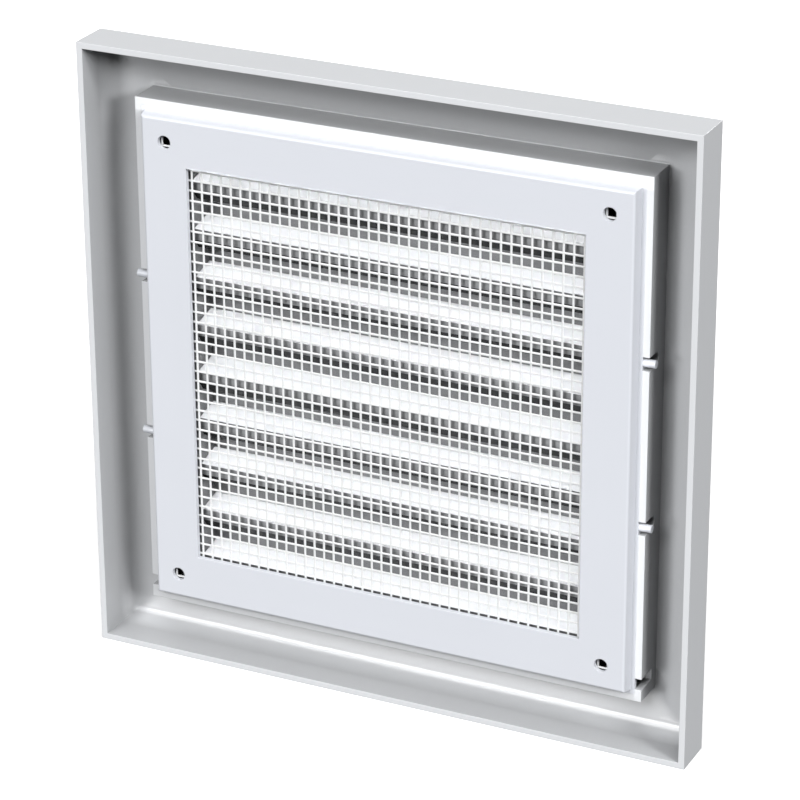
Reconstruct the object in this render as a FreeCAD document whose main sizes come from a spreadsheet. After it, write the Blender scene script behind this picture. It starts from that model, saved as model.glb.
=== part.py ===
import FreeCAD, Part
import os
import Sketcher

# Square moulded ventilation grille: louvred cover, mounting frame and insect mesh.
# +Z is up and +Y points into the wall. The origin is the centre of the four screw holes, on the
# rear face of the mounting frame. Every depth is measured from the cover's rim towards the room,
# that is along -Y, and each piece is then placed so that the mounting frame's rear face is at Y = 0.

doc = FreeCAD.newDocument("ventilation_grille")


# Driving dimensions, in millimetres and degrees

SIZES = [
    # cover: outer frame and face
    ("outer_side", 186.0),
    ("edge_depth", 13.7),
    ("full_depth", 18.5),
    ("border_run", 18.0),
    ("face_wall", 1.8),
    ("cove_radius", 5.0),
    ("edge_rounding", 0.3),
    # cover: channel and collar round the mounting frame
    ("channel_width", 13.45),
    ("collar_wall", 2.05),
    ("collar_depth", 5.0),
    ("slot_clearance", 0.85),
    ("slot_length", 6.6),
    ("slot_spacing", 48.8),
    ("notch_width", 3.4),
    ("notch_length", 7.5),
    ("notch_inset", 5.35),
    # cover: louvres and the box that carries them
    ("box_side_margin", 15.7),
    ("box_slack", 2.4),
    ("box_trim", 2.2),
    ("box_wall", 1.5),
    ("box_reveal", 0.2),
    ("louvre_spacing", 14.51),
    ("louvre_recess", 1.0),
    ("louvre_wall", 1.6),
    ("shelf_run", 8.6),
    ("shelf_angle", 13.0),
    ("lip_height", 4.2),
    ("lip_run", 0.9),
    ("nose_height", 3.4),
    ("nose_run", 0.3),
    ("chin_drop", 3.0),
    ("chin_run", 2.4),
    ("blade_weld", 0.15),
    # mounting frame, nested in the collar
    ("frame_wall", 1.4),
    ("panel_depth", 1.4),
    ("panel_flank", 0.5),
    ("panel_rounding", 0.8),
    ("ledge_width", 1.2),
    ("skirt_length", 4.0),
    ("notch_clearance", 0.7),
    ("window_lap", 0.15),
    ("hole_diameter", 4.0),
    ("hole_inset", 7.12),
    ("pin_diameter", 2.3),
    ("pin_gap", 0.05),
    ("pin_reach", 1.5),
    # insect mesh
    ("mesh_spacing", 3.04),
    ("mesh_wire", 0.75),
    ("mesh_layer", 0.35),
    ("mesh_overhang", 0.8),
    ("mesh_margin", 0.3),
    # every cut runs this far past the wall that it opens
    ("cut_overrun", 1.0),
]

# Dimensions that follow from the driving ones, as formulas in the same sheet

FORMULAS = [
    ("back_depth", "full_depth - face_wall"),
    ("collar_side", "outer_side - 2 * face_wall - 2 * channel_width"),
    ("collar_inner", "collar_side - 2 * collar_wall"),
    # panel, window and holes are set in from the collar
    ("panel_side", "collar_inner - 2 * ledge_width - 2 * panel_flank"),
    ("hole_offset", "panel_side / 2 - hole_inset"),
    ("box_width", "collar_inner - 2 * box_side_margin"),
    ("window_side", "box_width + 2 * window_lap"),
    # the mesh lies on the panel and the louvre box presses on the mesh
    ("mesh_depth", "panel_depth + frame_wall"),
    ("box_depth", "mesh_depth + 2 * mesh_layer"),
    # as many louvres as the window shows
    ("louvre_count", "ceil((window_side + 2 * box_trim - box_slack) / louvre_spacing)"),
    ("box_height", "louvre_count * louvre_spacing + box_slack"),
    ("box_low", "-box_height / 2"),
    ("box_top", "box_height / 2 - box_trim"),
    # corners of one louvre blade
    ("blade_rear", "-box_depth - louvre_recess"),
    ("blade_front", "blade_rear - shelf_run"),
    ("rear_edge", "box_low + nose_height + chin_drop - blade_weld"),
    ("front_edge", "rear_edge + shelf_run * tan(shelf_angle * 1 deg)"),
    ("shelf_under", "louvre_wall / cos(shelf_angle * 1 deg) - louvre_wall * tan(shelf_angle * 1 deg)"),
    ("nose_low", "rear_edge - nose_height"),
    ("chin_low", "nose_low - chin_drop"),
    ("chin_front", "blade_rear - nose_run - chin_run"),
    ("chin_bend", "louvre_wall * tan(atan2(chin_run; chin_drop) / 2)"),
    ("chin_inward", "louvre_wall * chin_drop / hypot(chin_run; chin_drop)"),
    ("chin_upward", "louvre_wall * chin_run / hypot(chin_run; chin_drop)"),
    # pins of the mounting frame in the slots of the collar, skirts between the notches
    ("slot_width", "pin_diameter + 2 * slot_clearance"),
    ("slot_end", "collar_depth + slot_length - slot_width / 2"),
    ("pin_depth", "collar_depth + pin_gap + pin_diameter / 2"),
    ("skirt_half", "collar_side / 2 - notch_inset - notch_width / 2 - notch_clearance"),
    # as many strands as lie inside the panel, the same number on both sides of the middle
    ("strand_room", "panel_side / 2 - frame_wall - mesh_margin - mesh_overhang"),
    ("mesh_strands", "2 * floor(strand_room / mesh_spacing + 0.5)"),
    ("mesh_run", "(mesh_strands - 1) * mesh_spacing"),
    ("strand_length", "mesh_run + 2 * mesh_overhang"),
]

sheet = doc.addObject("Spreadsheet::Sheet", "sizes")
cells = [(alias, repr(value)) for alias, value in SIZES]
cells += [(alias, "=" + formula) for alias, formula in FORMULAS]
for row, (alias, content) in enumerate(cells, start=1):
    sheet.set("A%d" % row, alias)
    sheet.set("B%d" % row, content)
    sheet.setAlias("B%d" % row, alias)
doc.recompute()


def size(alias):
    return float(sheet.get(alias))


# Helpers for sketches

def origin_feature(body, role):
    for feature in body.Origin.OriginFeatures:
        if feature.Role == role:
            return feature


def new_sketch(body, name, role, offset="0"):
    """A sketch on an origin plane; the offset is a depth on XZ_Plane and an X on YZ_Plane."""
    sketch = body.newObject("Sketcher::SketchObject", name)
    sketch.AttachmentSupport = (origin_feature(body, role), [""])
    sketch.MapMode = "FlatFace"
    sketch.setExpression("AttachmentOffset.Base.z", offset)
    return sketch


def bind(sketch, name, kind, elements, value, expression):
    index = sketch.addConstraint(Sketcher.Constraint(kind, *elements, value))
    sketch.renameConstraint(index, name)
    sketch.setExpression("Constraints." + name, expression)


def add_polygon(sketch, name, points, guesses):
    """A closed polygon with each corner placed by two expressions of the sheet."""
    first = len(sketch.Geometry)
    count = len(points)
    corners = [FreeCAD.Vector(x, y, 0) for x, y in guesses]
    for i in range(count):
        line = Part.LineSegment(corners[i], corners[(i + 1) % count])
        sketch.addGeometry(line, False)
    for i in range(count):
        ends = (first + i, 2, first + (i + 1) % count, 1)
        sketch.addConstraint(Sketcher.Constraint("Coincident", *ends))
    for i, (x, y) in enumerate(points):
        corner = (-1, 1, first + i, 1)
        bind(sketch, "%s_x%d" % (name, i), "DistanceX", corner, corners[i].x, x)
        bind(sketch, "%s_y%d" % (name, i), "DistanceY", corner, corners[i].y, y)


def add_rectangle(sketch, name, left, right, low, high):
    """A rectangle between four expressions of the sheet."""
    points = [(left, low), (right, low), (right, high), (left, high)]
    guess = size("full_depth")
    add_polygon(
        sketch, name, points,
        [(-guess, -guess), (guess, -guess), (guess, guess), (-guess, guess)])


def add_square(sketch, name, side):
    half = "(%s) / 2" % side
    add_rectangle(sketch, name, "-" + half, half, "-" + half, half)


def add_circle(sketch, name, x, y, diameter):
    """A circle placed by two expressions of the sheet."""
    guess = FreeCAD.Vector(size("slot_spacing") / 2, size("slot_spacing") / 2, 0)
    circle = Part.Circle(guess, FreeCAD.Vector(0, 0, 1), size("hole_diameter") / 2)
    index = sketch.addGeometry(circle, False)
    bind(sketch, name + "_x", "DistanceX", (-1, 1, index, 3), guess.x, x)
    bind(sketch, name + "_y", "DistanceY", (-1, 1, index, 3), guess.y, y)
    bind(sketch, name + "_diameter", "Diameter", (index,), size("hole_diameter"), diameter)


# Helpers for features

def extrude(body, kind, name, sketch, length, reverse=False, midplane=False):
    """A pad or pocket of one sketch, its length an expression of the sheet."""
    feature = body.newObject("PartDesign::" + kind, name)
    feature.Profile = sketch
    feature.Type = 0
    feature.Reversed = reverse
    if midplane:
        feature.SideType = "Symmetric"
    feature.setExpression("Length", length)
    sketch.Visibility = False
    body.Tip = feature
    doc.recompute()
    return feature


def square_block(body, kind, name, side, depth, length):
    """A square pad or pocket about the Y axis, from one depth and so far towards the room."""
    sketch = new_sketch(body, name + "_sketch", "XZ_Plane", depth)
    add_square(sketch, "square", side)
    return extrude(body, kind, name, sketch, length, kind == "Pocket")


def repeat(body, name, originals, axis, span, count):
    pattern = body.newObject("PartDesign::LinearPattern", name)
    pattern.Originals = originals
    pattern.Direction = (origin_feature(body, axis), [""])
    pattern.setExpression("Length", span)
    pattern.setExpression("Occurrences", count)
    body.Tip = pattern
    doc.recompute()
    return pattern


def mirror(body, name, originals, role):
    mirrored = body.newObject("PartDesign::Mirrored", name)
    mirrored.Originals = originals
    mirrored.MirrorPlane = (origin_feature(body, role), [""])
    body.Tip = mirrored
    doc.recompute()
    return mirrored


def near(a, b):
    return abs(a - b) < 1e-4


def reach(point):
    """Distance of a point from the grille's axis, measured squarely."""
    return max(abs(point.x), abs(point.z))


def edges_on_square(shape, depth, half_side):
    """Names of the edges that lie on a square of one size at one depth."""
    names = []
    for number, edge in enumerate(shape.Edges, start=1):
        points = [vertex.Point for vertex in edge.Vertexes] + [edge.CenterOfMass]
        if all(near(p.y, -depth) and near(reach(p), half_side) for p in points):
            names.append("Edge%d" % number)
    return names


def faces_at_depth(shape, depth):
    """Names of the faces that lie flat at one depth."""
    names = []
    for number, face in enumerate(shape.Faces, start=1):
        if all(near(vertex.Point.y, -depth) for vertex in face.Vertexes):
            names.append("Face%d" % number)
    return names


def dress_square(body, kind, name, base, depth, half_side):
    """A fillet or chamfer on the four edges of a square at one depth."""
    names = edges_on_square(base.Shape, depth, half_side)
    if len(names) != 4:
        raise ValueError("%s found %d edges instead of 4" % (name, len(names)))
    dressing = body.newObject("PartDesign::" + kind, name)
    dressing.Base = (base, names)
    base.Visibility = False
    body.Tip = dressing
    return dressing


def round_square(body, name, base, depth, half_side, radius):
    fillet = dress_square(body, "Fillet", name, base, depth, half_side)
    fillet.setExpression("Radius", radius)
    doc.recompute()
    return fillet


def bevel_square(body, name, base, depth, half_side, inward, back, foot):
    """A bevel that runs so far in over the face and so far back down the sides, to a foot depth."""
    bevel = dress_square(body, "Chamfer", name, base, depth, half_side)
    bevel.ChamferType = "Two distances"
    bevel.setExpression("Size", inward)
    bevel.setExpression("Size2", back)
    doc.recompute()
    if not edges_on_square(bevel.Shape, foot, half_side):
        bevel.FlipDirection = True
        doc.recompute()
    return bevel


# Cover: outer frame with a face that slopes up to the louvres, hollow behind

cover = doc.addObject("PartDesign::Body", "front_grille")
cover.Label = "front_grille"

block = square_block(cover, "Pad", "outer_block", "sizes.outer_side", "0", "sizes.full_depth")
border = bevel_square(
    cover, "sloping_border", block, size("full_depth"), size("outer_side") / 2,
    "sizes.border_run", "sizes.full_depth - sizes.edge_depth", size("edge_depth"))

hollow = cover.newObject("PartDesign::Thickness", "hollow")
hollow.Base = (border, faces_at_depth(border.Shape, 0))
hollow.Join = "Intersection"
hollow.Reversed = True
hollow.setExpression("Value", "sizes.face_wall")
cover.Tip = hollow
doc.recompute()

# The cove runs round the foot of the inner wall, where the wall meets the sloping floor
inner_half = size("outer_side") / 2 - size("face_wall")
foot_depth = max(
    -vertex.Point.y for vertex in hollow.Shape.Vertexes if near(reach(vertex.Point), inner_half))
cove = round_square(cover, "cove", hollow, foot_depth, inner_half, "sizes.cove_radius")
round_square(
    cover, "front_edge", cove, size("edge_depth"), size("outer_side") / 2, "sizes.edge_rounding")

# Collar that stands on the back of the face, round the mounting frame
collar_sketch = new_sketch(cover, "collar_sketch", "XZ_Plane", "sizes.collar_depth")
add_square(collar_sketch, "outer", "sizes.collar_side")
add_square(collar_sketch, "inner", "sizes.collar_inner")
extrude(cover, "Pad", "collar", collar_sketch, "sizes.back_depth - sizes.collar_depth")

# Slots for the pins of the mounting frame, open at the collar's rim and round at the bottom
BESIDE_COLLAR = "sizes.collar_side / 2 + sizes.cut_overrun"
BEHIND_COLLAR = "-sizes.collar_depth + sizes.cut_overrun"
THROUGH_COLLAR = "sizes.collar_wall + 2 * sizes.cut_overrun"
slot_sketch = new_sketch(cover, "slot_sketch", "YZ_Plane", BESIDE_COLLAR)
slot_end_sketch = new_sketch(cover, "slot_end_sketch", "YZ_Plane", BESIDE_COLLAR)
for label, sign in (("upper", ""), ("lower", "-")):
    centre = sign + "sizes.slot_spacing / 2"
    add_rectangle(
        slot_sketch, label, "-sizes.slot_end", BEHIND_COLLAR,
        centre + " - sizes.slot_width / 2", centre + " + sizes.slot_width / 2")
    add_circle(slot_end_sketch, label, "-sizes.slot_end", centre, "sizes.slot_width")
slots = extrude(cover, "Pocket", "pin_slots", slot_sketch, THROUGH_COLLAR)
slot_ends = extrude(cover, "Pocket", "pin_slot_ends", slot_end_sketch, THROUGH_COLLAR)

# Release notches near the bottom corners of the collar
notch_sketch = new_sketch(cover, "notch_sketch", "YZ_Plane", BESIDE_COLLAR)
add_rectangle(
    notch_sketch, "notch",
    "-sizes.collar_depth - sizes.notch_length", BEHIND_COLLAR,
    "-sizes.collar_side / 2 + sizes.notch_inset - sizes.notch_width / 2",
    "-sizes.collar_side / 2 + sizes.notch_inset + sizes.notch_width / 2")
notches = extrude(cover, "Pocket", "release_notches", notch_sketch, THROUGH_COLLAR)
mirror(cover, "collar_cuts_left", [slots, slot_ends, notches], "YZ_Plane")

# Opening in the face and the box round it that carries the louvres and presses on the mesh
BOX_INSIDE = ("-sizes.box_width / 2", "sizes.box_width / 2", "sizes.box_low", "sizes.box_top")
opening_sketch = new_sketch(
    cover, "opening_sketch", "XZ_Plane", "sizes.back_depth - sizes.cut_overrun")
add_rectangle(opening_sketch, "opening", *BOX_INSIDE)
extrude(
    cover, "Pocket", "opening", opening_sketch, "sizes.face_wall + 2 * sizes.cut_overrun", True)

box_sketch = new_sketch(cover, "box_sketch", "XZ_Plane", "sizes.box_depth")
add_rectangle(
    box_sketch, "outer",
    "-sizes.box_width / 2 - sizes.box_wall", "sizes.box_width / 2 + sizes.box_wall",
    "sizes.box_low - sizes.box_wall", "sizes.box_top + sizes.box_wall")
add_rectangle(box_sketch, "inner", *BOX_INSIDE)
extrude(
    cover, "Pad", "louvre_box", box_sketch,
    "sizes.full_depth - sizes.box_depth - sizes.box_reveal")

# One louvre blade in section: a shelf, an upstand in front of it and a nose that hangs behind it.
# The corners run from the rear top edge of the shelf forward over the top and back underneath.
blade_points = [
    ("sizes.blade_rear", "sizes.rear_edge"),
    ("sizes.blade_front", "sizes.front_edge"),
    ("sizes.blade_front + sizes.lip_run", "sizes.front_edge + sizes.lip_height"),
    ("sizes.blade_front + sizes.lip_run - sizes.louvre_wall",
     "sizes.front_edge + sizes.lip_height"),
    ("sizes.blade_front - sizes.louvre_wall", "sizes.front_edge - sizes.shelf_under"),
    ("sizes.blade_rear - sizes.louvre_wall", "sizes.rear_edge - sizes.shelf_under"),
    ("sizes.blade_rear - sizes.louvre_wall", "sizes.nose_low + sizes.chin_bend"),
    ("sizes.chin_front - sizes.chin_inward", "sizes.chin_low + sizes.chin_upward"),
    ("sizes.chin_front", "sizes.chin_low"),
    ("sizes.blade_rear - sizes.nose_run", "sizes.nose_low"),
]
blade_guesses = [
    (-4.5, -60.0), (-13.0, -58.0), (-12.0, -54.0), (-13.8, -54.0), (-14.7, -59.6),
    (-6.1, -61.4), (-6.1, -62.7), (-8.4, -65.6), (-7.2, -66.5), (-4.8, -63.5)]
blade_sketch = new_sketch(cover, "blade_sketch", "YZ_Plane")
add_polygon(blade_sketch, "blade", blade_points, blade_guesses)
blade = extrude(
    cover, "Pad", "louvre_blade", blade_sketch, "sizes.box_width + 2 * sizes.blade_weld",
    False, True)
repeat(
    cover, "louvre_blades", [blade], "Z_Axis",
    "(sizes.louvre_count - 1) * sizes.louvre_spacing", "sizes.louvre_count")


# Mounting frame: raised panel with the window, a ledge flush with the collar and skirts inside it

frame = doc.addObject("PartDesign::Body", "mounting_frame")
frame.Label = "mounting_frame"

panel = square_block(
    frame, "Pad", "raised_panel", "sizes.panel_side + 2 * sizes.panel_flank", "sizes.panel_depth",
    "sizes.collar_depth + sizes.frame_wall - sizes.panel_depth")
flank = bevel_square(
    frame, "panel_flanks", panel,
    size("panel_depth"), size("panel_side") / 2 + size("panel_flank"),
    "sizes.panel_flank", "sizes.collar_depth - sizes.panel_depth", size("collar_depth"))
round_square(
    frame, "panel_edge", flank, size("panel_depth"), size("panel_side") / 2, "sizes.panel_rounding")
square_block(
    frame, "Pad", "ledge", "sizes.collar_inner", "sizes.collar_depth", "sizes.frame_wall")
square_block(
    frame, "Pocket", "inside_of_panel", "sizes.panel_side - 2 * sizes.frame_wall",
    "sizes.mesh_depth",
    "sizes.collar_depth + sizes.frame_wall - sizes.mesh_depth + sizes.cut_overrun")

# Skirts hang from the ledge along each side and stop short of the notches
HALF = "sizes.collar_inner / 2"
INNER_HALF = "(sizes.collar_inner / 2 - sizes.frame_wall)"
RUN = "sizes.skirt_half"
skirt_sketch = new_sketch(
    frame, "skirt_sketch", "XZ_Plane", "sizes.collar_depth + sizes.frame_wall / 2")
add_rectangle(skirt_sketch, "right", INNER_HALF, HALF, "-" + RUN, RUN)
add_rectangle(skirt_sketch, "left", "-" + HALF, "-" + INNER_HALF, "-" + RUN, RUN)
add_rectangle(skirt_sketch, "top", "-" + RUN, RUN, INNER_HALF, HALF)
add_rectangle(skirt_sketch, "bottom", "-" + RUN, RUN, "-" + HALF, "-" + INNER_HALF)
extrude(frame, "Pad", "skirts", skirt_sketch, "sizes.skirt_length - sizes.frame_wall / 2")

# Window, screw holes in the corners and the pins that ride in the collar's slots
BEHIND_PANEL = "sizes.panel_depth - sizes.cut_overrun"
THROUGH_PANEL = "sizes.frame_wall + 2 * sizes.cut_overrun"
square_block(frame, "Pocket", "window", "sizes.window_side", BEHIND_PANEL, THROUGH_PANEL)
hole_sketch = new_sketch(frame, "hole_sketch", "XZ_Plane", BEHIND_PANEL)
for label, x_sign, z_sign in (
        ("upper_right", "", ""), ("upper_left", "-", ""),
        ("lower_left", "-", "-"), ("lower_right", "", "-")):
    add_circle(
        hole_sketch, label, x_sign + "sizes.hole_offset", z_sign + "sizes.hole_offset",
        "sizes.hole_diameter")
extrude(frame, "Pocket", "screw_holes", hole_sketch, THROUGH_PANEL, True)

pin_sketch = new_sketch(frame, "pin_sketch", "YZ_Plane", HALF + " - sizes.frame_wall / 2")
add_circle(pin_sketch, "upper", "-sizes.pin_depth", "sizes.slot_spacing / 2", "sizes.pin_diameter")
add_circle(pin_sketch, "lower", "-sizes.pin_depth", "-sizes.slot_spacing / 2", "sizes.pin_diameter")
pins = extrude(
    frame, "Pad", "pins_right", pin_sketch,
    "sizes.collar_wall + sizes.pin_reach + sizes.frame_wall / 2")
mirror(frame, "pins_left", [pins], "YZ_Plane")


# Insect mesh: two layers of thin strands, uprights against the panel and crossbars against the box

def strand_layer(name, depth, axis):
    layer = doc.addObject("PartDesign::Body", name)
    layer.Label = name
    sketch = new_sketch(layer, name + "_sketch", "XZ_Plane", depth)
    across = (
        "-sizes.mesh_run / 2 - sizes.mesh_wire / 2", "-sizes.mesh_run / 2 + sizes.mesh_wire / 2")
    along = ("-sizes.strand_length / 2", "sizes.strand_length / 2")
    if axis == "X_Axis":
        add_rectangle(sketch, "strand", across[0], across[1], along[0], along[1])
    else:
        add_rectangle(sketch, "strand", along[0], along[1], across[0], across[1])
    strand = extrude(layer, "Pad", name + "_first", sketch, "sizes.mesh_layer")
    repeat(layer, name + "_all", [strand], axis, "sizes.mesh_run", "sizes.mesh_strands")
    return layer


uprights = strand_layer("mesh_uprights", "sizes.mesh_depth", "X_Axis")
crossbars = strand_layer("mesh_crossbars", "sizes.mesh_depth + sizes.mesh_layer", "Z_Axis")
mesh = doc.addObject("Part::Compound", "insect_mesh")
mesh.Label = "insect_mesh"
mesh.Links = [uprights, crossbars]
doc.recompute()


# Placement of each piece, so that the mounting frame's rear face lies at Y = 0
for piece in (cover, frame, uprights, crossbars):
    piece.setExpression("Placement.Base.y", "sizes.panel_depth")
doc.recompute()


# Checks and export

for item in doc.Objects:
    if "Invalid" in item.State or "Error" in item.State:
        raise ValueError("%s did not recompute: %s" % (item.Name, item.State))

os.makedirs("parts", exist_ok=True)
for item, solids in ((cover, 1), (frame, 1), (mesh, 2 * int(size("mesh_strands")))):
    shape = item.Shape
    if shape.isNull() or not shape.isValid():
        raise ValueError("%s has no valid shape" % item.Label)
    if len(shape.Solids) != solids:
        raise ValueError("%s has %d solids instead of %d" % (item.Label, len(shape.Solids), solids))
    shape.exportStep("parts/%s.step" % item.Label)
    print(item.Label, "volume %.1f" % shape.Volume, "faces", len(shape.Faces), shape.BoundBox)
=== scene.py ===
import math

import bpy
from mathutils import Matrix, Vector


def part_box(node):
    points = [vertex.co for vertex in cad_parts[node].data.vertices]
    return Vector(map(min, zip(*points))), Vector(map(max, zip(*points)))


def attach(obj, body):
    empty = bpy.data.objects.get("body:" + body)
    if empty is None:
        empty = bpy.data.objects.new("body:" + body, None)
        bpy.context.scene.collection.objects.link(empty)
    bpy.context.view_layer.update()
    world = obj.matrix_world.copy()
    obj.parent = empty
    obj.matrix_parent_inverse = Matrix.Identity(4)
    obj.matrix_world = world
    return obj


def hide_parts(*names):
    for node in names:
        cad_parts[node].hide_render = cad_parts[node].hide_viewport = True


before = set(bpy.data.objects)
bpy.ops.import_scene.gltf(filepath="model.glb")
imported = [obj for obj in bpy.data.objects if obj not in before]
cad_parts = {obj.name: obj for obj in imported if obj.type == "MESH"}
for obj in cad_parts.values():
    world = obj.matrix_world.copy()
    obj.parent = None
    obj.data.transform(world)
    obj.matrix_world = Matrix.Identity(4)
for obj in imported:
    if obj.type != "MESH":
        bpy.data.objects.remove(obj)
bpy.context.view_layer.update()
scene = bpy.context.scene

# Lengths are written in mm, where a comment doesn't name metres, and angles in degrees
MM = 0.001


# Colours

def linear(hex_colour):
    """An sRGB hex colour as the linear colour that the renderer works in."""
    channels = []
    for i in (1, 3, 5):
        value = int(hex_colour[i:i + 2], 16) / 255
        if value <= 0.04045:
            channels.append(value / 12.92)
        else:
            channels.append(((value + 0.055) / 1.055) ** 2.4)
    return (*channels, 1.0)


# Nodes

def add_node(tree, kind, links=None, **settings):
    """A node with its settings, and its inputs set or linked by name or number.

    Where a node is given for an input, its first output is linked.
    """
    node = tree.nodes.new(kind)
    for key, value in settings.items():
        setattr(node, key, value)
    for key, value in (links or {}).items():
        if isinstance(value, bpy.types.Node):
            value = value.outputs[0]
        if isinstance(value, bpy.types.NodeSocket):
            tree.links.new(value, node.inputs[key])
        else:
            node.inputs[key].default_value = value
    return node


# Materials

# Places on the cover's hollow side: distances from the middle, and levels, 0 at the wall
CHANNEL_START = 70.0
CHANNEL_MIDDLE = 82.3
CHANNEL_WIDTH = 8.6
CHANNEL_FLOOR = -11.0
CHIN_LEVEL = -6.5
# Faces that look up, back at the wall or down, told by their normal
LOOKS_UP = 0.5
LOOKS_BACK = 0.9
LOOKS_DOWN = -0.3
# How far away a neighbour shades, and the share of the tone that painted shade takes in full
# shade
SHADE_REACH = 30.0
CHANNEL_PAINTED_SHADE = 0.48
LOUVRE_PAINTED_SHADE = 0.72
# Share of the tone that painted shade takes besides on a louvre's nose and chin
NOSE_PAINTED_SHADE = 0.25
CHIN_PAINTED_SHADE = 0.9
# Share of the cover's colour that bounce light sees, a painted shade on its neighbours
PAINTED_BOUNCE_SHARE = 0.35
# The creases in the corners of the channel's floor
CORNER_WIDTH = 6.0
CORNER_ROUNDING = 4.0

PLASTIC_IOR = 1.52
PLASTIC_GLOSS = 0.5
# Size of a patch of even tone
TONE_PATCH = 35.7
NOISE_DETAIL = 2.0
ROUGHNESS_SPREAD = 0.04
GRAIN_STRENGTH = 0.25
SHADE_SAMPLES = 8
EDGE_SAMPLES = 8


def hollow_side(tree, place, edge_mm):
    """The cover's tone, gloss and edge radius, which depend on the place in its hollow side.

    Shade is painted in: the channel round the collar is darker the less open it is, and so are
    the faces between the louvres that don't look up. The louvres' noses and hanging chins get
    more painted shade besides, the chins most, also in their reflections. The colour that bounce
    light sees is darker than the one the camera sees, a painted shade that keeps the hollows
    from lighting each other. The creases of the channel's floor are rounded over.
    """
    axes = add_node(tree, "ShaderNodeSeparateXYZ", {"Vector": place}).outputs
    geometry = add_node(tree, "ShaderNodeNewGeometry").outputs["True Normal"]
    normal = add_node(tree, "ShaderNodeSeparateXYZ", {"Vector": geometry}).outputs
    across = add_node(tree, "ShaderNodeMath", {0: axes["X"]}, operation="ABSOLUTE")
    up = add_node(tree, "ShaderNodeMath", {0: axes["Z"]}, operation="ABSOLUTE")
    from_middle = add_node(tree, "ShaderNodeMath", {0: across, 1: up}, operation="MAXIMUM")

    # 1 where the value lies on that side of its limit, and 0 elsewhere
    outside, near_net, looks_up, looks_back, looks_down, deep = (
        add_node(tree, "ShaderNodeMath", {0: value, 1: limit}, operation=side)
        for value, side, limit in (
            (from_middle, "GREATER_THAN", CHANNEL_START * MM),
            (axes["Y"], "GREATER_THAN", CHIN_LEVEL * MM),
            (normal["Z"], "GREATER_THAN", LOOKS_UP),
            (normal["Y"], "GREATER_THAN", LOOKS_BACK),
            (normal["Z"], "LESS_THAN", LOOKS_DOWN),
            (axes["Y"], "LESS_THAN", CHANNEL_FLOOR * MM)))
    nose, chin = (
        add_node(tree, "ShaderNodeMath", {0: near_net, 1: looks}, operation="MULTIPLY")
        for looks in (looks_back, looks_down))

    # Painted shade: full tone in the open and the least at the bottom of a narrow gap, among the
    # cover's own walls for the channel and all walls for the louvres
    channel_shaded_tone, louvre_shaded_tone = (
        add_node(
            tree, "ShaderNodeMapRange",
            {"To Min": 1.0 - painted_shade_share,
             "Value": add_node(
                 tree, "ShaderNodeAmbientOcclusion", {"Distance": SHADE_REACH * MM},
                 samples=SHADE_SAMPLES, only_local=own).outputs["AO"]})
        for own, painted_shade_share in ((True, CHANNEL_PAINTED_SHADE), (False, LOUVRE_PAINTED_SHADE)))
    # Painted shade on the louvres' noses and hanging chins, in their tone and their reflections
    chin_painted_shade = add_node(tree, "ShaderNodeMath", {0: chin, 1: CHIN_PAINTED_SHADE}, operation="MULTIPLY")
    nose_chin_painted_shade = add_node(
        tree, "ShaderNodeMath", {0: nose, 1: NOSE_PAINTED_SHADE, 2: chin_painted_shade}, operation="MULTIPLY_ADD")
    nose_chin_shaded_tone = add_node(tree, "ShaderNodeMath", {0: 1.0, 1: nose_chin_painted_shade}, operation="SUBTRACT")
    nose_chin_shaded_gloss = add_node(
        tree, "ShaderNodeMath", {0: nose_chin_shaded_tone, 1: PLASTIC_GLOSS}, operation="MULTIPLY")
    louvre_shaded_tone = add_node(
        tree, "ShaderNodeMath", {0: louvre_shaded_tone, 1: nose_chin_shaded_tone}, operation="MULTIPLY")
    louvre_shaded_tone = add_node(
        tree, "ShaderNodeMix", {"Factor": looks_up, "A": louvre_shaded_tone, "B": 1.0})

    # Painted shade: the colour that bounce light sees is cut by its share once in the channel,
    # and twice among the louvres
    tone, gloss, painted_bounce = (
        add_node(tree, "ShaderNodeMix", {"Factor": outside, "A": in_louvres, "B": in_channel})
        for in_louvres, in_channel in (
            (louvre_shaded_tone, channel_shaded_tone),
            (nose_chin_shaded_gloss, PLASTIC_GLOSS),
            (PAINTED_BOUNCE_SHARE ** 2, PAINTED_BOUNCE_SHARE)))
    sent = add_node(tree, "ShaderNodeLightPath").outputs["Is Diffuse Ray"]
    painted_bounce = add_node(tree, "ShaderNodeMix", {"Factor": sent, "A": 1.0, "B": painted_bounce})
    tone = add_node(tree, "ShaderNodeMath", {0: tone, 1: painted_bounce}, operation="MULTIPLY")

    # The creases run along the floor's diagonals
    on_diagonal = add_node(
        tree, "ShaderNodeMath", {0: across, 1: up, 2: CORNER_WIDTH * MM}, operation="COMPARE")
    on_floor = add_node(
        tree, "ShaderNodeMath",
        {0: from_middle, 1: CHANNEL_MIDDLE * MM, 2: CHANNEL_WIDTH * MM / 2}, operation="COMPARE")
    on_floor = add_node(tree, "ShaderNodeMath", {0: on_floor, 1: deep}, operation="MULTIPLY")
    in_corner = add_node(
        tree, "ShaderNodeMath", {0: on_diagonal, 1: on_floor}, operation="MULTIPLY")
    radius = add_node(
        tree, "ShaderNodeMath", {0: in_corner, 1: CORNER_ROUNDING * MM, 2: edge_mm * MM},
        operation="MULTIPLY_ADD")
    return tone, gloss, radius


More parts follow.
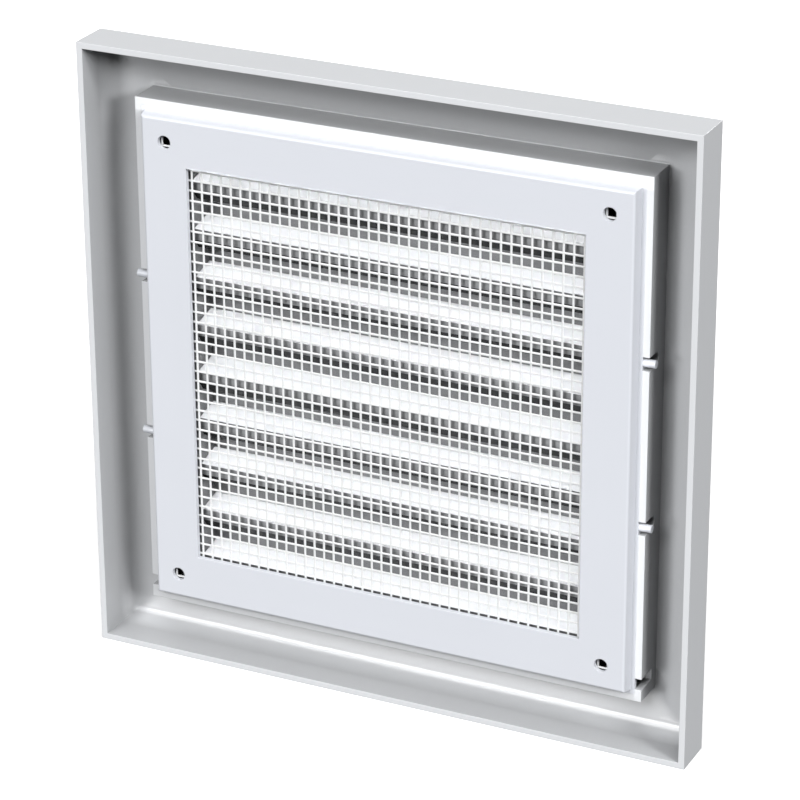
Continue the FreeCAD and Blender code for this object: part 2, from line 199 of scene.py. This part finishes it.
def moulded_plastic(
        name, colour, shade, roughness, edge_mm, grain_mm, grain_depth_mm, hollow=False):
    """Injection-moulded plastic: rounded edges, a faint grain and a slow change of tone."""
    material = bpy.data.materials.new(name)
    material.use_nodes = True
    tree = material.node_tree
    tree.nodes.clear()
    place = add_node(tree, "ShaderNodeTexCoord").outputs["Object"]

    # Slow change of tone over a few centimetres, as uneven wall thickness gives
    slow = add_node(
        tree, "ShaderNodeTexNoise",
        {"Vector": place, "Scale": 1.0 / (TONE_PATCH * MM), "Detail": NOISE_DETAIL})
    mix = add_node(tree, "ShaderNodeMix", {"Factor": slow.outputs["Fac"]}, data_type="RGBA")
    mix.inputs["A"].default_value = linear(colour)
    mix.inputs["B"].default_value = linear(shade)
    base, gloss, radius = mix.outputs["Result"], PLASTIC_GLOSS, edge_mm * MM
    # On the cover's hollow side, shade is painted into its colour and reflections
    if hollow:
        tone, gloss, radius = hollow_side(tree, place, edge_mm)
        base = add_node(
            tree, "ShaderNodeVectorMath", {0: base, "Scale": tone},
            operation="SCALE").outputs["Vector"]

    # Fine grain of the mould surface, drawn coarser than the real one so that it shows
    grain = add_node(
        tree, "ShaderNodeTexNoise",
        {"Vector": place, "Scale": 1.0 / (grain_mm * MM), "Detail": NOISE_DETAIL}).outputs["Fac"]
    rough = add_node(
        tree, "ShaderNodeMapRange",
        {"Value": grain, "To Min": roughness - ROUGHNESS_SPREAD,
         "To Max": roughness + ROUGHNESS_SPREAD})
    edge = add_node(tree, "ShaderNodeBevel", {"Radius": radius}, samples=EDGE_SAMPLES)
    bump = add_node(
        tree, "ShaderNodeBump",
        {"Height": grain, "Strength": GRAIN_STRENGTH, "Distance": grain_depth_mm * MM,
         "Normal": edge.outputs["Normal"]})
    skin = add_node(
        tree, "ShaderNodeBsdfPrincipled",
        {"Base Color": base, "Roughness": rough.outputs["Result"], "IOR": PLASTIC_IOR,
         "Specular IOR Level": gloss, "Normal": bump.outputs["Normal"]})
    add_node(tree, "ShaderNodeOutputMaterial", {"Surface": skin.outputs["BSDF"]})
    return material


# White ABS of the cover: neutral and satin, gives broad soft highlights on the coves.
# Shade is painted into its colour and reflections on the hollow side
cover_abs = moulded_plastic(
    "cover_satin_white_abs", "#E5E7EA", "#E2E4E7",
    roughness=0.21, edge_mm=0.25, grain_mm=0.35, grain_depth_mm=0.01, hollow=True)
# ABS of the mounting frame: a touch bluer and duller
frame_abs = moulded_plastic(
    "frame_satin_white_abs", "#E4E7EE", "#E1E4EB",
    roughness=0.30, edge_mm=0.25, grain_mm=0.35, grain_depth_mm=0.01)
# Polyethylene of the net: matt, and whiter than the two mouldings
net_pe = moulded_plastic(
    "mesh_matt_white_polyethylene", "#F3F4F5", "#F1F2F3",
    roughness=0.55, edge_mm=0.12, grain_mm=0.5, grain_depth_mm=0.005)

for node, material in (
        ("front_grille", cover_abs), ("mounting_frame", frame_abs), ("insect_mesh", net_pe)):
    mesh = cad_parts[node].data
    mesh.materials.clear()
    mesh.materials.append(material)


# Insect mesh as one moulded net, built with Geometry Nodes

NET_PITCH = 3.04
NET_STRANDS = 48
NET_WIRE = 0.5
NET_OVERHANG = 0.8
# The net is thinner than the CAD mesh by this much
NET_INSET = 0.04
# Rounding of a strand, as a share of its thickness, and its steps
NET_ROUNDING = 0.4
NET_ROUNDING_STEPS = 3


def net_tree():
    """A node tree that lays parallel strands both ways in one plane, as a moulded net."""
    tree = bpy.data.node_groups.new("moulded_net", "GeometryNodeTree")
    interface = tree.interface
    interface.new_socket("Geometry", in_out="INPUT", socket_type="NodeSocketGeometry")
    for name, kind in (
            ("Pitch", "Float"), ("Strands", "Int"), ("Wire", "Float"),
            ("Thickness", "Float"), ("Overhang", "Float"), ("Material", "Material")):
        interface.new_socket(name, in_out="INPUT", socket_type="NodeSocket" + kind)
    interface.new_socket("Geometry", in_out="OUTPUT", socket_type="NodeSocketGeometry")
    given = tree.nodes.new("NodeGroupInput").outputs

    # One upright strand, centred on the middle of the net
    gaps = add_node(
        tree, "ShaderNodeMath", {0: given["Strands"], 1: 1.0}, operation="SUBTRACT")
    run = add_node(tree, "ShaderNodeMath", {0: gaps, 1: given["Pitch"]}, operation="MULTIPLY")
    half_run = add_node(tree, "ShaderNodeMath", {0: run, 1: 0.5}, operation="MULTIPLY")
    half_length = add_node(
        tree, "ShaderNodeMath", {0: half_run, 1: given["Overhang"]}, operation="ADD")
    below = add_node(tree, "ShaderNodeMath", {0: half_length, 1: -1.0}, operation="MULTIPLY")
    strand = add_node(
        tree, "GeometryNodeCurvePrimitiveLine",
        {"Start": add_node(tree, "ShaderNodeCombineXYZ", {"Z": below}),
         "End": add_node(tree, "ShaderNodeCombineXYZ", {"Z": half_length})})
    section = add_node(
        tree, "GeometryNodeCurvePrimitiveQuadrilateral",
        {"Width": given["Thickness"], "Height": given["Wire"]})
    radius = add_node(
        tree, "ShaderNodeMath", {0: given["Thickness"], 1: NET_ROUNDING}, operation="MULTIPLY")
    rounded = add_node(
        tree, "GeometryNodeFilletCurve",
        {"Curve": section, "Radius": radius, "Count": NET_ROUNDING_STEPS}, mode="POLY")
    tube = add_node(
        tree, "GeometryNodeCurveToMesh",
        {"Curve": strand, "Profile Curve": rounded, "Fill Caps": True})

    # The strand at every step of the pitch, and the same turned for the other way
    first = add_node(tree, "ShaderNodeMath", {0: half_run, 1: -1.0}, operation="MULTIPLY")
    row = add_node(
        tree, "GeometryNodeMeshLine",
        {"Count": given["Strands"],
         "Start Location": add_node(tree, "ShaderNodeCombineXYZ", {"X": first}),
         "Offset": add_node(tree, "ShaderNodeCombineXYZ", {"X": given["Pitch"]})})
    uprights = add_node(
        tree, "GeometryNodeInstanceOnPoints", {"Points": row, "Instance": tube})
    crossbars = add_node(
        tree, "GeometryNodeTransform",
        {"Geometry": uprights, "Rotation": (0.0, math.radians(90), 0.0)})
    both = add_node(tree, "GeometryNodeJoinGeometry")
    tree.links.new(uprights.outputs[0], both.inputs[0])
    tree.links.new(crossbars.outputs[0], both.inputs[0])
    real = add_node(tree, "GeometryNodeRealizeInstances", {"Geometry": both})
    painted = add_node(
        tree, "GeometryNodeSetMaterial",
        {"Geometry": real, "Material": given["Material"]})
    out = tree.nodes.new("NodeGroupOutput")
    tree.links.new(painted.outputs[0], out.inputs[0])
    return tree


def grown(name, tree, values):
    """A mesh object made by a Geometry Nodes tree with its named inputs set."""
    seed = bpy.data.objects.new(name + "_seed", bpy.data.meshes.new(name + "_seed"))
    scene.collection.objects.link(seed)
    modifier = seed.modifiers.new("grow", "NODES")
    modifier.node_group = tree
    for item in tree.interface.items_tree:
        if item.item_type == "SOCKET" and item.in_out == "INPUT" and item.name in values:
            modifier[item.identifier] = values[item.name]
    bpy.context.view_layer.update()
    graph = bpy.context.evaluated_depsgraph_get()
    mesh = bpy.data.meshes.new_from_object(seed.evaluated_get(graph), depsgraph=graph)
    mesh.name = name
    bpy.data.objects.remove(seed)
    made = bpy.data.objects.new(name, mesh)
    scene.collection.objects.link(made)
    return made


low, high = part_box("insect_mesh")
net = grown("insect_net", net_tree(), {
    "Pitch": NET_PITCH * MM,
    "Strands": NET_STRANDS,
    "Wire": NET_WIRE * MM,
    "Thickness": (high.y - low.y) - NET_INSET * MM,
    "Overhang": NET_OVERHANG * MM,
    "Material": net_pe,
})
for vertex in net.data.vertices:
    vertex.co.y += (low.y + high.y) / 2
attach(net, "root")
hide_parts("insect_mesh")


# Floor: white in the picture, darkened only by the grille's soft shadow

# Side of the floor in metres
FLOOR_SIZE = 12.0
FLOOR_GLOW = 0.45


def floor_material():
    """White card to the camera, and dark to the grille, whose lower side it leaves in shade."""
    material = bpy.data.materials.new("studio_floor_white")
    material.use_nodes = True
    tree = material.node_tree
    tree.nodes.clear()
    ray = add_node(tree, "ShaderNodeLightPath").outputs["Is Camera Ray"]
    card = add_node(tree, "ShaderNodeBsdfDiffuse", {"Color": linear("#F2F2F3")})
    dark = add_node(tree, "ShaderNodeBsdfDiffuse", {"Color": linear("#404040")})
    glow = add_node(
        tree, "ShaderNodeEmission", {"Color": linear("#FFFFFF"), "Strength": FLOOR_GLOW})
    lit = add_node(tree, "ShaderNodeAddShader", {0: card, 1: glow})
    mix = add_node(tree, "ShaderNodeMixShader", {"Fac": ray, 1: dark, 2: lit})
    add_node(tree, "ShaderNodeOutputMaterial", {"Surface": mix})
    return material


low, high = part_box("front_grille")
bpy.ops.mesh.primitive_plane_add(size=FLOOR_SIZE, location=(0, 0, low.z))
floor = bpy.context.object
floor.name = "floor"
floor.data.materials.append(floor_material())


# Light

REFLECTED_ROOM = 0.36
SUN_POWER = math.pi


def studio_world():
    """A white room: plain white to the eye, weaker in reflections, and no light on its own."""
    world = bpy.data.worlds.new("studio")
    scene.world = world
    world.use_nodes = True
    tree = world.node_tree
    tree.nodes.clear()
    path = add_node(tree, "ShaderNodeLightPath").outputs
    mirrored = add_node(
        tree, "ShaderNodeMath", {0: path["Is Glossy Ray"], 1: REFLECTED_ROOM},
        operation="MULTIPLY")
    seen = add_node(
        tree, "ShaderNodeMath", {0: path["Is Camera Ray"], 1: mirrored}, operation="MAXIMUM")
    white = add_node(
        tree, "ShaderNodeBackground", {"Color": linear("#FFFFFF"), "Strength": seen})
    add_node(tree, "ShaderNodeOutputWorld", {"Surface": white})


def aimed_light(data, towards_right, height, aim, distance):
    """A light that shines on its aim; its angles are for someone facing the grille's back."""
    light = bpy.data.objects.new(data.name, data)
    scene.collection.objects.link(light)
    across, up = math.radians(towards_right), math.radians(height)
    way = Vector((
        -math.sin(across) * math.cos(up), math.cos(across) * math.cos(up), math.sin(up)))
    light.location = Vector(aim) + way * distance
    light.rotation_euler = way.to_track_quat("Z", "Y").to_euler()
    return light


def soft_light(name, towards_right, height, spread, strength):
    """A distant softbox, seen from the grille under an angle of spread."""
    data = bpy.data.lights.new(name, "SUN")
    data.angle = math.radians(spread)
    data.energy = strength * SUN_POWER
    aimed_light(data, towards_right, height, aim=(0.0, 0.0, 0.0), distance=1.0)


studio_world()
# Each softbox has its angle to the right, its height, its spread and its strength
# Two on the right light the inner left wall and leave the sharp shadow by the collar
soft_light("side_softbox", 63, 20, 15, 0.40)
soft_light("side_upper_softbox", 63, 40, 15, 0.31)
# A lower one on the left shines in the bottom cove
soft_light("front_softbox", -22, 8, 16, 0.28)
soft_light("front_upper_softbox", -2, 35, 18, 0.23)
soft_light("front_left_softbox", -18, 29, 22, 0.23)
soft_light("overhead_softbox", 30, 63, 18, 0.15)
soft_light("overhead_left_softbox", -16, 70, 18, 0.09)
# Three for the outer faces and the room side of the grille, which the photograph doesn't show
soft_light("room_side_softbox", 180, 0, 30, 0.45)
soft_light("room_side_right_softbox", 166, 12, 20, 0.45)
soft_light("rear_left_softbox", -110, 60, 30, 0.06)


# Gridded strips: each lights one narrow part with parallel light

STRIP_DISTANCE = 30.0
STRIP_SPREAD = 0.5


def strip_light(name, aim, angle, width, height, irradiance):
    """A strip in front of its aim and above it by an angle; its sizes are those of its beam."""
    data = bpy.data.lights.new(name, "AREA")
    data.shape = "RECTANGLE"
    data.size = width * MM
    data.size_y = height * MM
    data.spread = math.radians(STRIP_SPREAD)
    data.energy = irradiance * data.size * data.size_y
    return aimed_light(data, 0, angle, Vector(aim) * MM, STRIP_DISTANCE * MM)


# One on each louvre whitens its shelf and leaves its nose and chin dark
LOUVRES = 9
LOUVRE_PITCH = 14.51
# Height and level of the lowest shelf's rear edge, and the beam's start above it
FIRST_EDGE = -60.25
EDGE_LEVEL = -3.1
EDGE_GAP = 0.3
LOUVRE_STRIP_WIDTH = 119.5
LOUVRE_STRIP = {"opening": 10.2, "angle": 46.0, "irradiance": 3.1}
# The top louvre lies under the frame's edge, so its strip is lower and flatter
TOP_LOUVRE_STRIP = {"opening": 2.8, "angle": 24.0, "irradiance": 4.6}

# These strips neither light the net nor throw its shadow, a dark grid, on the louvres
all_but_net = bpy.data.collections.new("all_but_net")
for node in ("front_grille", "mounting_frame"):
    all_but_net.objects.link(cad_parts[node])
for k in range(LOUVRES):
    beam = TOP_LOUVRE_STRIP if k == LOUVRES - 1 else LOUVRE_STRIP
    middle = FIRST_EDGE + k * LOUVRE_PITCH + EDGE_GAP + beam["opening"] / 2
    strip = strip_light(
        f"louvre_strip_{k + 1}", (0.0, EDGE_LEVEL, middle), beam["angle"],
        width=LOUVRE_STRIP_WIDTH,
        height=beam["opening"] * math.cos(math.radians(beam["angle"])),
        irradiance=beam["irradiance"])
    strip.light_linking.blocker_collection = all_but_net
    strip.light_linking.receiver_collection = all_but_net

# Two more whiten the collar's rim, along the top with the frame's ledge and on the right
RIM_LEVEL = -3.6
RIM_LENGTH = 155.5
RIM_TOP = 76.0
RIM_RIGHT = -76.72
strip_light(
    "rim_strip_top", (0.0, RIM_LEVEL, RIM_TOP), angle=0.0,
    width=RIM_LENGTH, height=3.9, irradiance=1.0)
strip_light(
    "rim_strip_right", (RIM_RIGHT, RIM_LEVEL, 0.0), angle=0.0,
    width=2.05, height=RIM_LENGTH, irradiance=0.7)

# The last one fills the highlight in the bottom cove
COVE_LEVEL = -11.8
COVE_BOTTOM = -88.0
strip_light(
    "cove_strip", (0.0, COVE_LEVEL, COVE_BOTTOM), angle=0.0,
    width=178.0, height=1.4, irradiance=1.0)


# Camera: at the photograph's viewpoint, found from the grille's corners and its collar

# Place in metres
CAMERA_PLACE = (-0.38928, 0.79434, 0.39085)
CAMERA_TURN = (66.229, 0.294, -154.341)
LENS = 156.75
SENSOR_WIDTH = 36.0
PICTURE_SIZE = 800

camera_data = bpy.data.cameras.new("camera")
camera_data.sensor_width = SENSOR_WIDTH
camera_data.lens = LENS
camera = bpy.data.objects.new("camera", camera_data)
scene.collection.objects.link(camera)
camera.location = CAMERA_PLACE
camera.rotation_euler = [math.radians(angle) for angle in CAMERA_TURN]
scene.camera = camera

scene.view_settings.view_transform = "Standard"
scene.view_settings.look = "None"
scene.render.resolution_x = PICTURE_SIZE
scene.render.resolution_y = PICTURE_SIZE
scene.cycles.diffuse_bounces = 1
